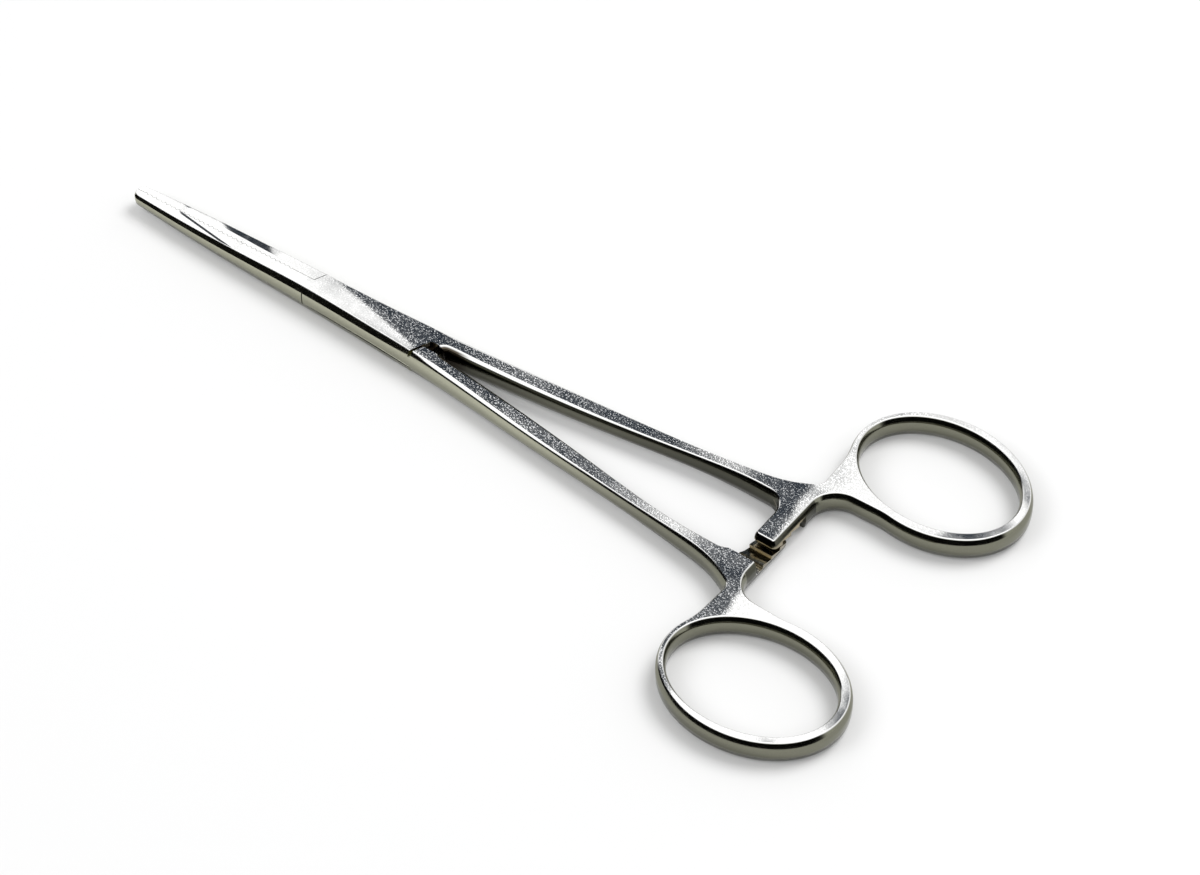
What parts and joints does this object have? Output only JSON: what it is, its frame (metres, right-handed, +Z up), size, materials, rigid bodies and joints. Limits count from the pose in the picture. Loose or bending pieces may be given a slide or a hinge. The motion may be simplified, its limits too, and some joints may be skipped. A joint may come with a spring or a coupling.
{
  "type": "hemostat forceps",
  "caption": "Straight artery forceps: serrated jaws, a box lock turning on a flush pin, slender shanks, a toothed ratchet and two oval finger rings.",
  "frame": {"origin": "on the pivot axis, in the plane of the underside of the box, which the closed instrument lies on", "axes": "+X from the pivot towards the finger rings, -X towards the jaw tips, +Z up through the thickness along the pivot axis, +Y towards the ring of the half with the box"},
  "size_m": [0.1404, 0.0658, 0.0044],
  "materials": {
    "steel": "polished on the bevels and flanks, fine satin on the flat faces"
  },
  "bodies": {
    "box_half": {"box_half": "steel", "pivot_pin": "steel"},
    "tongue_half": {"tongue_half": "steel"}
  },
  "joints": [
    {"name": "box_lock", "type": "hinge", "parent": "box_half", "child": "tongue_half", "pos_m": [0, 0, 0.0022], "axis": [0, 0, -1], "range_deg": [0, 60]}
  ]
}
